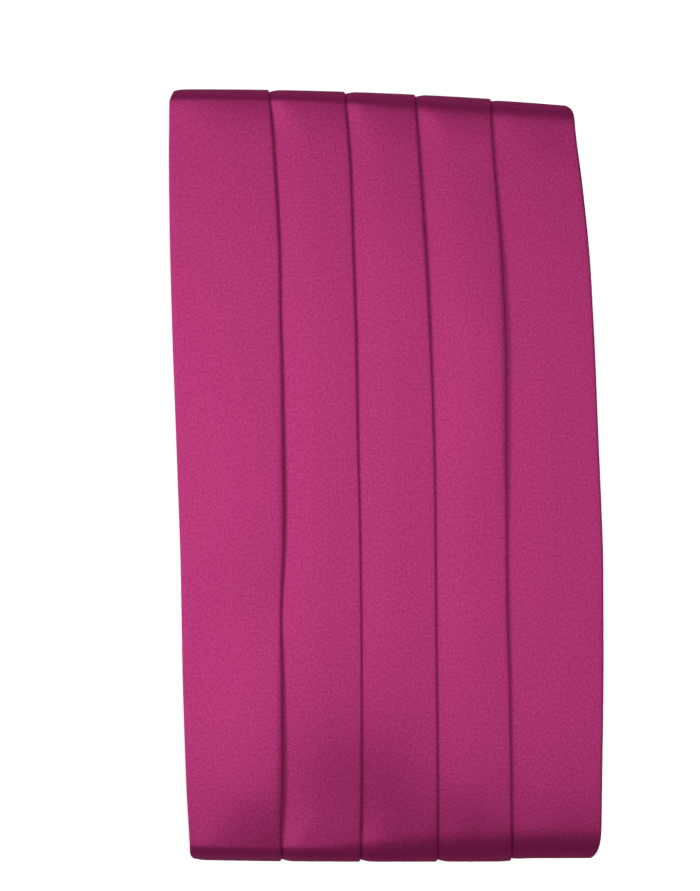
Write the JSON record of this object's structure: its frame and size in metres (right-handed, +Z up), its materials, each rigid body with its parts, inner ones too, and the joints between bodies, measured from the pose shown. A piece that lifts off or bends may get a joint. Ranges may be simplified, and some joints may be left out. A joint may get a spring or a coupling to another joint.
{
  "type": "cummerbund",
  "caption": "Pleated satin waist sash, fastened at the back by straps and a clasp, and folded flat on itself with its pleats facing up.",
  "frame": {"origin": "middle of the footprint, on the surface that the folded sash lies on", "axes": "+X across the pleats towards the side that their free edges face, +Y along the pleats from the broad fold to the tight fold, +Z up out of the face"},
  "size_m": [0.1442, 0.2568, 0.0189],
  "materials": {
    "satin": "fuchsia satin with a soft sheen",
    "webbing": "fuchsia woven band, matt",
    "clasp_plastic": "black moulded plastic"
  },
  "bodies": {
    "root": {"pleated_front": "satin", "inner_strap": "webbing", "under_strap": "webbing", "clasp": "clasp_plastic"}
  },
  "joints": []
}
